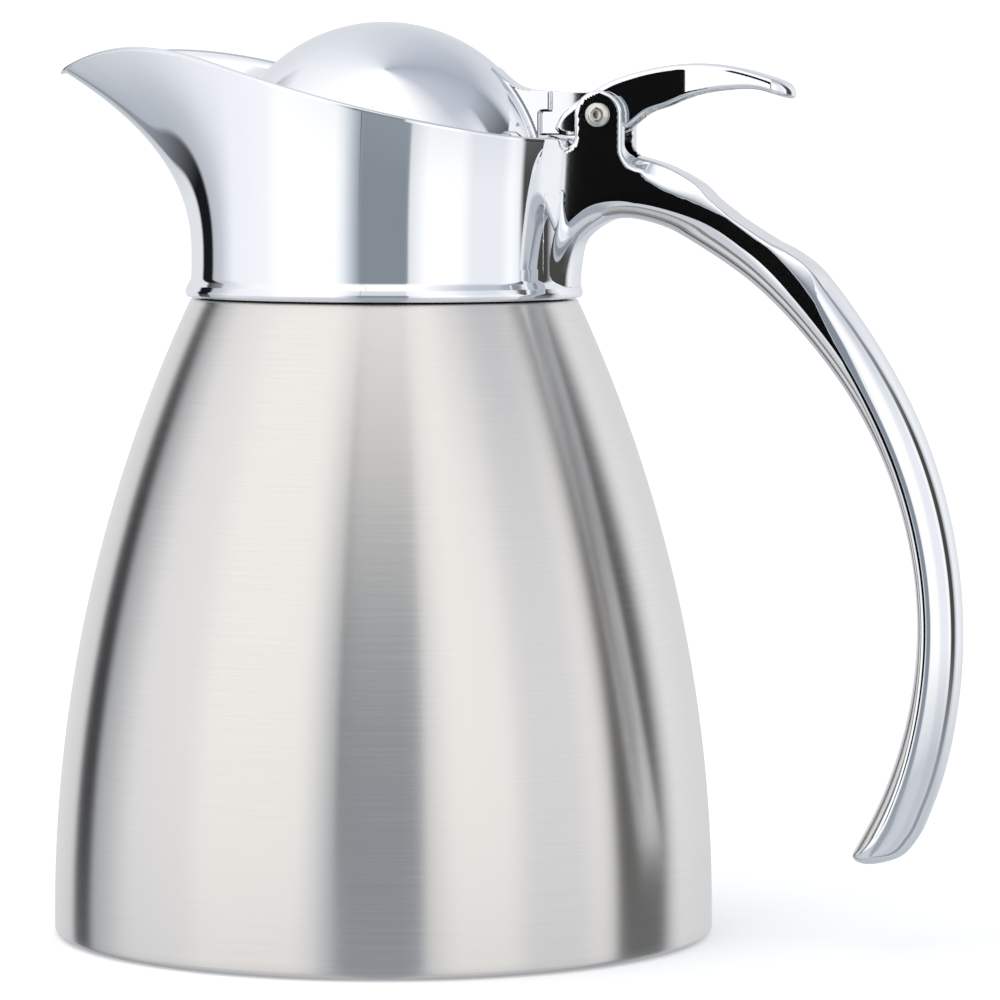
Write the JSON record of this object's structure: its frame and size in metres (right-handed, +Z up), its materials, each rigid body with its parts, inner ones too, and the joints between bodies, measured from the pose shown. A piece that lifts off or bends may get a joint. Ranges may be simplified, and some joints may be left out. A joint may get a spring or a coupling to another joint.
{
  "type": "insulated coffee pot",
  "caption": "Insulated coffee pot with a bell-shaped steel body, spouted collar, C-shaped handle and a hinged lid opened by a thumb lever.",
  "frame": {"origin": "centre of the flat underside, on the table", "axes": "+Z up, spout along -X, handle along +X"},
  "size_m": [0.1576, 0.113, 0.1558],
  "materials": {
    "brushed_body": "satin, brushed in fine lines round the body",
    "plain_steel": "plain drawn steel",
    "seal_metal": "dull grey metal bead and tablet",
    "chrome": "mirror chrome plate",
    "pin_steel": "plain steel, slightly warm",
    "screw_steel": "plain steel",
    "black_plastic": "moulded food-grade plastic",
    "silicone": "soft translucent grey silicone"
  },
  "bodies": {
    "pot": {"outer_shell": "brushed_body", "inner_flask": "plain_steel", "base_pan": "plain_steel", "vacuum_plug": "seal_metal", "getter_disc": "seal_metal", "base_cover": "black_plastic", "shoulder_gasket": "silicone", "collar": "chrome", "lock_ring": "black_plastic", "mouth_seal": "silicone", "pour_insert": "black_plastic", "handle": "chrome", "hinge_pin": "pin_steel", "hinge_nut": "pin_steel"},
    "lid": {"hinge_sleeve": "black_plastic", "lid_dome": "chrome", "lid_liner": "black_plastic", "lid_gasket": "silicone", "lid_screw_front": "screw_steel", "lid_screw_left": "screw_steel", "lid_screw_right": "screw_steel", "thumb_lever": "chrome", "lever_screw": "screw_steel"}
  },
  "joints": [
    {"name": "lid_hinge", "type": "hinge", "parent": "pot", "child": "lid", "pos_m": [0.0387, 0, 0.14], "axis": [0, 1, 0], "range_deg": [0, 36]}
  ]
}
